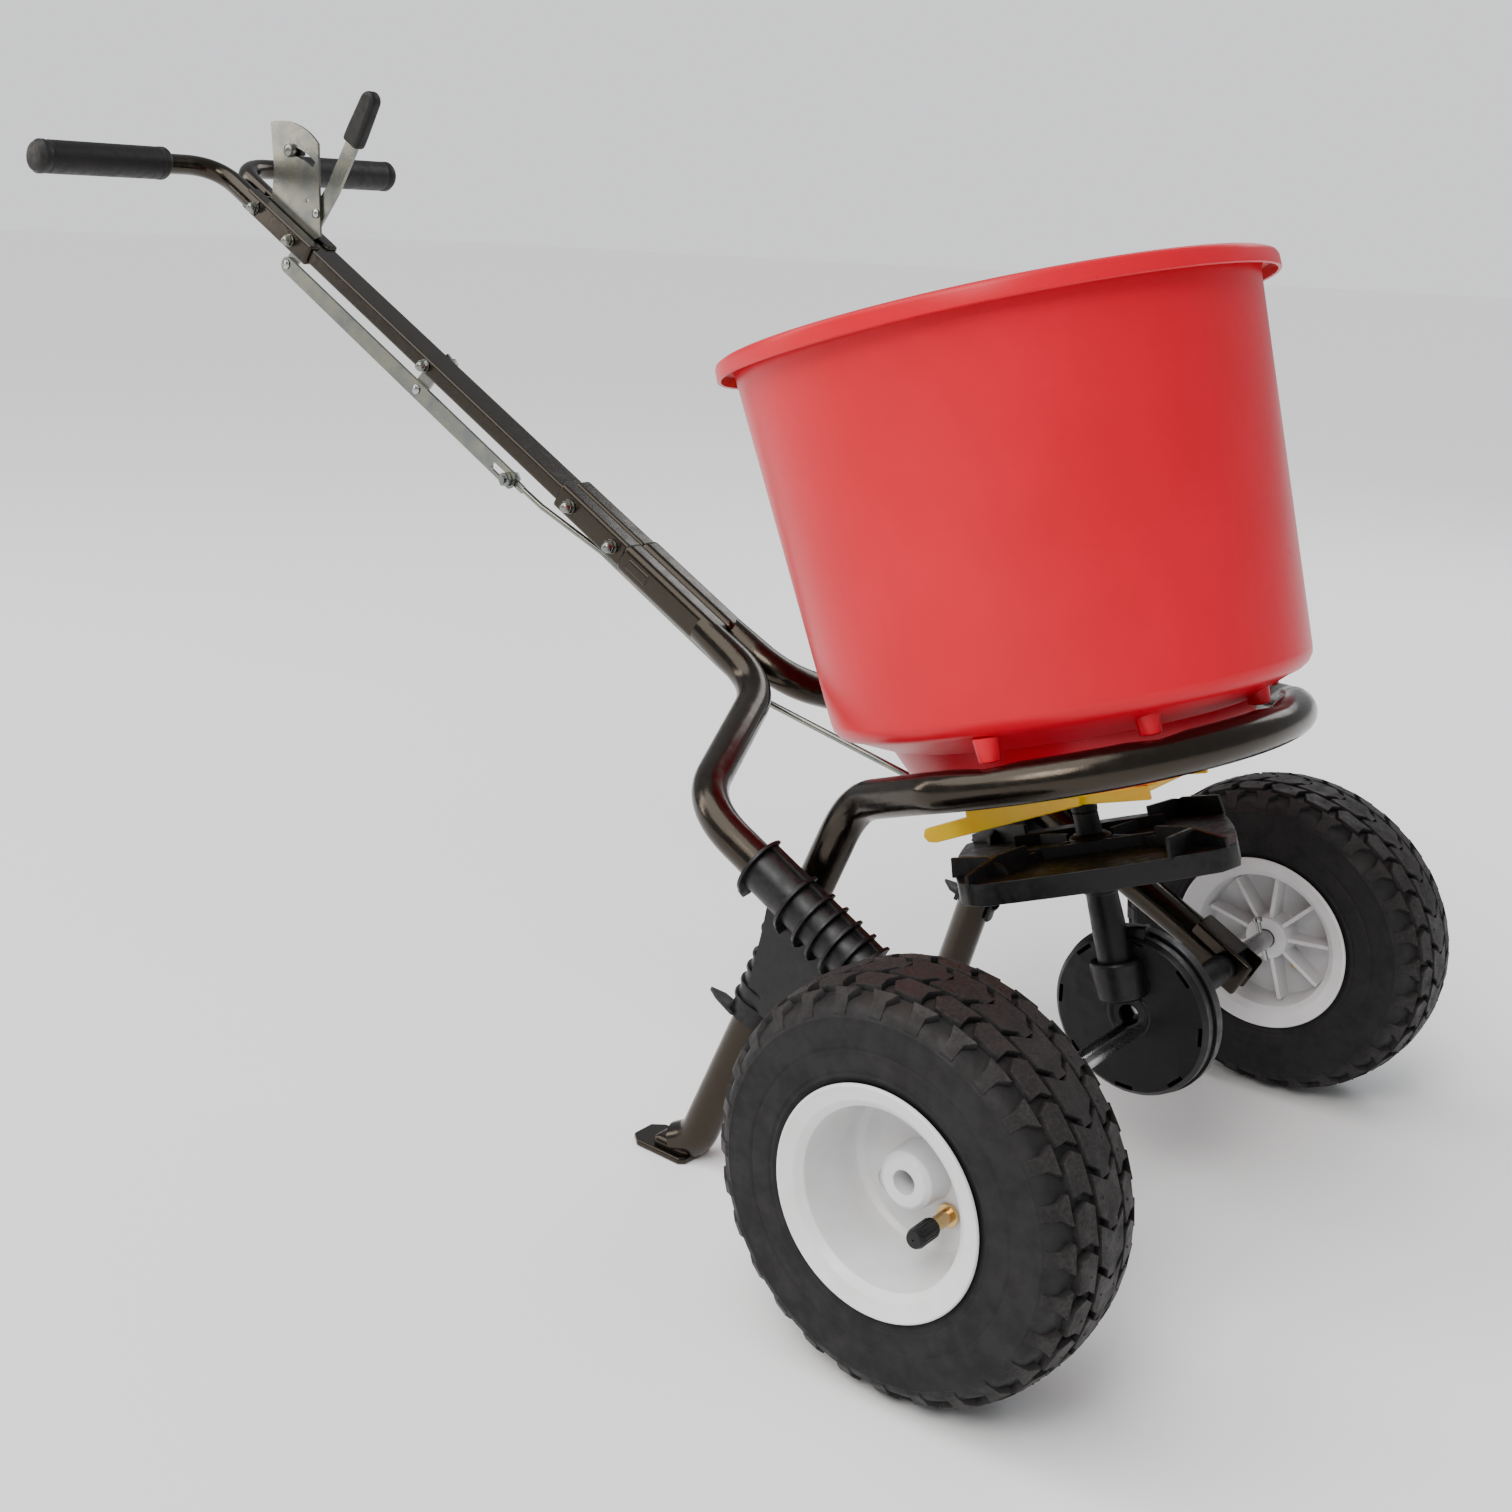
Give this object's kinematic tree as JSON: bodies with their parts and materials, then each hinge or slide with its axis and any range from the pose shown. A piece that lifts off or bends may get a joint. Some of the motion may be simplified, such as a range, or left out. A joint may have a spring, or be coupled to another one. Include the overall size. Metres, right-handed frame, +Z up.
{
  "type": "garden spreader",
  "caption": "Push broadcast spreader: round hopper over a spinning disc, air-filled wheels, tube frame with kickstand, T handle and a rate lever.",
  "frame": {"origin": "on the floor, under the middle of the object's length and width, with the spreader standing on its kickstand", "axes": "+X the way it travels, from the grips to the wheels, +Y to the side of the free wheel, +Z up"},
  "size_m": [1.0849, 0.618, 0.729],
  "materials": {
    "white_plastic": "satin moulded",
    "tyre_rubber": "moulded turf tread",
    "brass": "plain",
    "red_plastic": "gloss moulded",
    "yellow_plastic": "satin moulded",
    "black_paint": "gloss powder coat",
    "grip_vinyl": "satin dipped vinyl",
    "steel": "bright",
    "zinc": "zinc plated",
    "black_plastic": "satin moulded"
  },
  "bodies": {
    "frame": {"axle_bushing_near": "black_plastic", "axle_bushing_far": "black_plastic", "axle_spacer": "black_plastic", "gearbox_front": "black_plastic", "gearbox_rear": "black_plastic", "hopper": "red_plastic", "shutoff_guide": "yellow_plastic", "kickstand_ring": "black_paint", "leg_bracket_near": "black_plastic", "leg_bracket_far": "black_plastic", "lower_handle_far": "black_paint", "lower_handle_near": "black_paint", "middle_handle": "black_paint", "upper_handle_far": "black_paint", "upper_handle_near": "black_paint", "grip_far": "grip_vinyl", "grip_near": "grip_vinyl", "gauge_plate": "zinc", "gauge_rivet": "steel", "bolt_upper": "zinc", "nut_upper": "zinc", "bolt_pivot": "zinc", "nut_pivot": "zinc", "bolt_idler": "zinc", "nut_idler": "zinc", "bolt_lower_a": "zinc", "nut_lower_a": "zinc", "bolt_lower_b": "zinc", "nut_lower_b": "zinc"},
    "axle": {"axle": "steel", "axle_pin_near": "steel", "axle_pin_far": "steel", "drive_gear": "steel", "rim_near": "white_plastic", "tyre_near": "tyre_rubber", "valve_stem_near": "brass", "valve_cap_near": "black_plastic"},
    "free_wheel": {"rim_far": "white_plastic", "tyre_far": "tyre_rubber", "valve_stem_far": "brass", "valve_cap_far": "black_plastic"},
    "spinner": {"spinner_shaft": "steel", "agitator_pin": "steel", "pinion_gear": "steel", "spinner": "black_plastic", "spinner_collar": "black_plastic", "spinner_pin": "steel"},
    "lever": {"rate_lever": "zinc", "lever_grip": "grip_vinyl"},
    "bar": {"linkage_bar": "zinc", "link_rivet_upper": "steel", "link_rivet_lower": "steel", "rod_bolt": "zinc", "rod_nut": "zinc"},
    "idler": {"idler_link": "zinc"},
    "rod": {"control_rod": "zinc"},
    "shutoff": {"shutoff_plate": "yellow_plastic"},
    "stop": {"stop_bolt": "zinc", "stop_knob": "black_plastic"}
  },
  "joints": [
    {"name": "axle_spin", "type": "hinge", "parent": "frame", "child": "axle", "pos_m": [0.4282, 0, 0.1143], "axis": [0, 1, 0], "continuous": true},
    {"name": "free_wheel_spin", "type": "hinge", "parent": "frame", "child": "free_wheel", "pos_m": [0.4282, 0.262, 0.1143], "axis": [0, 1, 0], "continuous": true},
    {"name": "spinner_spin", "type": "hinge", "parent": "frame", "child": "spinner", "pos_m": [0.4282, 0, 0.1143], "axis": [-0.2924, 0, 0.9563], "continuous": true},
    {"name": "lever_swing", "type": "hinge", "parent": "frame", "child": "lever", "pos_m": [-0.41126, 0, 0.5944], "axis": [0, -1, 0], "range_deg": [0, 24]},
    {"name": "bar_pivot", "type": "hinge", "parent": "lever", "child": "bar", "pos_m": [-0.43113, 0, 0.57192], "axis": [0, -1, 0], "range_deg": [-24.5, 0]},
    {"name": "idler_swing", "type": "hinge", "parent": "frame", "child": "idler", "pos_m": [-0.23455, 0, 0.4945], "axis": [0, -1, 0], "range_deg": [0, 24.5]},
    {"name": "rod_pivot", "type": "hinge", "parent": "bar", "child": "rod", "pos_m": [-0.14265, 0, 0.40712], "axis": [0, -1, 0], "range_deg": [0, 2]},
    {"name": "shutoff_slide", "type": "slide", "parent": "frame", "child": "shutoff", "axis": [0.9563, 0, 0.2924], "range_m": [0, 0.0163]},
    {"name": "stop_slide", "type": "hinge", "parent": "frame", "child": "stop", "pos_m": [-0.43874, 0, 0.60879], "axis": [0, 1, 0], "range_deg": [0, 10]}
  ],
  "couplings": [
    {"joint": "spinner_spin", "follows": "axle_spin", "ratio": -4},
    {"joint": "bar_pivot", "follows": "lever_swing", "ratio": -1},
    {"joint": "idler_swing", "follows": "lever_swing", "ratio": 1},
    {"joint": "rod_pivot", "follows": "lever_swing", "ratio": 0.06321},
    {"joint": "shutoff_slide", "follows": "lever_swing", "m_per_rad": 0.03836}
  ]
}
